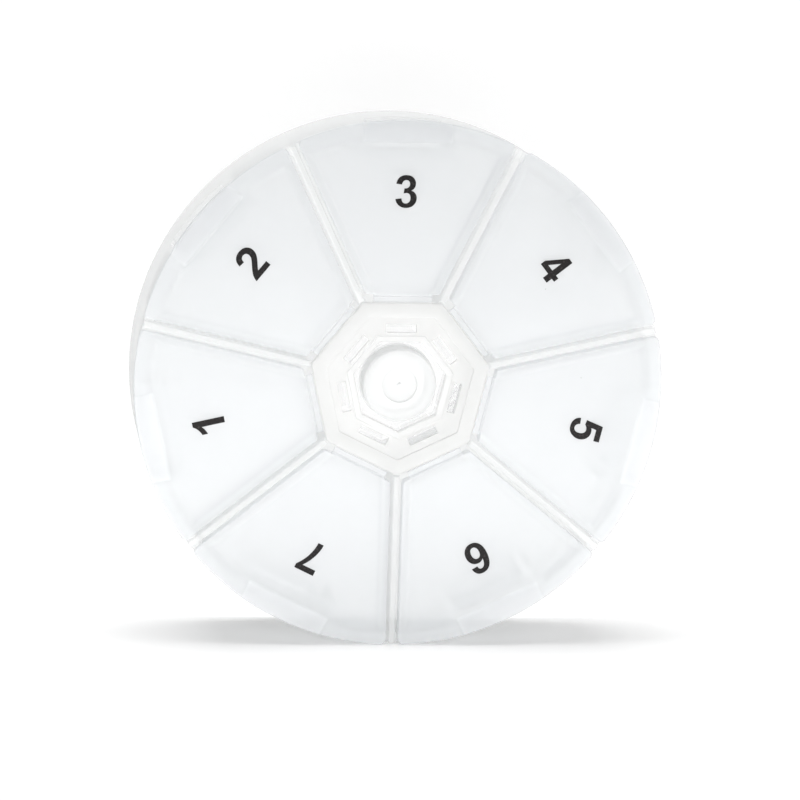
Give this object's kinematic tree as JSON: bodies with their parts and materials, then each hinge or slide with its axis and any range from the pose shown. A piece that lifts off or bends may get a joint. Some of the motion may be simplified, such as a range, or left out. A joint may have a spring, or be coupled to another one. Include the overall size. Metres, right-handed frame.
{
  "type": "weekly pill box",
  "caption": "Round pill organiser: a clear tray of wedge compartments round a snap-in hub that carries one film-hinged lid for each compartment.",
  "frame": {"origin": "on the axis of the hub, level with the underside of the tray", "axes": "+Z up along the hub's axis through the lids, +Y out through the middle of lid 3, +X to its right seen from above with +Y up"},
  "size_m": [0.09, 0.09, 0.022],
  "materials": {
    "tray_plastic": "translucent natural polypropylene",
    "lid_plastic": "translucent natural polypropylene",
    "number_ink": "black pad-printed ink"
  },
  "bodies": {
    "tray": {"base_tray": "tray_plastic", "hub_cap": "lid_plastic"},
    "film_1": {"hinge_film_1": "lid_plastic"},
    "lid_1": {"lid_1": "lid_plastic"},
    "film_2": {"hinge_film_2": "lid_plastic"},
    "lid_2": {"lid_2": "lid_plastic"},
    "film_3": {"hinge_film_3": "lid_plastic"},
    "lid_3": {"lid_3": "lid_plastic"},
    "film_4": {"hinge_film_4": "lid_plastic"},
    "lid_4": {"lid_4": "lid_plastic"},
    "film_5": {"hinge_film_5": "lid_plastic"},
    "lid_5": {"lid_5": "lid_plastic"},
    "film_6": {"hinge_film_6": "lid_plastic"},
    "lid_6": {"lid_6": "lid_plastic"},
    "film_7": {"hinge_film_7": "lid_plastic"},
    "lid_7": {"lid_7": "lid_plastic"}
  },
  "joints": [
    {"name": "lid_1_inner_flex", "type": "hinge", "parent": "tray", "child": "film_1", "pos_m": [-0.01404, -0.0032, 0.0217], "axis": [-0.2225, 0.9749, 0], "range_deg": [0, 45]},
    {"name": "lid_1_outer_flex", "type": "hinge", "parent": "film_1", "child": "lid_1", "pos_m": [-0.01462, -0.00334, 0.0217], "axis": [-0.2225, 0.9749, 0], "range_deg": [0, 45]},
    {"name": "lid_2_inner_flex", "type": "hinge", "parent": "tray", "child": "film_2", "pos_m": [-0.01126, 0.00898, 0.0217], "axis": [-0.6235, -0.7818, 0], "range_deg": [-45, 0]},
    {"name": "lid_2_outer_flex", "type": "hinge", "parent": "film_2", "child": "lid_2", "pos_m": [-0.01173, 0.00935, 0.0217], "axis": [-0.6235, -0.7818, 0], "range_deg": [-45, 0]},
    {"name": "lid_3_inner_flex", "type": "hinge", "parent": "tray", "child": "film_3", "pos_m": [0, 0.0144, 0.0217], "axis": [1, 0, 0], "range_deg": [0, 45]},
    {"name": "lid_3_outer_flex", "type": "hinge", "parent": "film_3", "child": "lid_3", "pos_m": [0, 0.015, 0.0217], "axis": [1, 0, 0], "range_deg": [0, 45]},
    {"name": "lid_4_inner_flex", "type": "hinge", "parent": "tray", "child": "film_4", "pos_m": [0.01126, 0.00898, 0.0217], "axis": [-0.6235, 0.7818, 0], "range_deg": [-45, 0]},
    {"name": "lid_4_outer_flex", "type": "hinge", "parent": "film_4", "child": "lid_4", "pos_m": [0.01173, 0.00935, 0.0217], "axis": [-0.6235, 0.7818, 0], "range_deg": [-45, 0]},
    {"name": "lid_5_inner_flex", "type": "hinge", "parent": "tray", "child": "film_5", "pos_m": [0.01404, -0.0032, 0.0217], "axis": [-0.2225, -0.9749, 0], "range_deg": [0, 45]},
    {"name": "lid_5_outer_flex", "type": "hinge", "parent": "film_5", "child": "lid_5", "pos_m": [0.01462, -0.00334, 0.0217], "axis": [-0.2225, -0.9749, 0], "range_deg": [0, 45]},
    {"name": "lid_6_inner_flex", "type": "hinge", "parent": "tray", "child": "film_6", "pos_m": [0.00625, -0.01297, 0.0217], "axis": [0.901, 0.4339, 0], "range_deg": [-45, 0]},
    {"name": "lid_6_outer_flex", "type": "hinge", "parent": "film_6", "child": "lid_6", "pos_m": [0.00651, -0.01351, 0.0217], "axis": [0.901, 0.4339, 0], "range_deg": [-45, 0]},
    {"name": "lid_7_inner_flex", "type": "hinge", "parent": "tray", "child": "film_7", "pos_m": [-0.00625, -0.01297, 0.0217], "axis": [-0.901, 0.4339, 0], "range_deg": [0, 45]},
    {"name": "lid_7_outer_flex", "type": "hinge", "parent": "film_7", "child": "lid_7", "pos_m": [-0.00651, -0.01351, 0.0217], "axis": [0.901, -0.4339, 0], "range_deg": [-45, 0]}
  ]
}
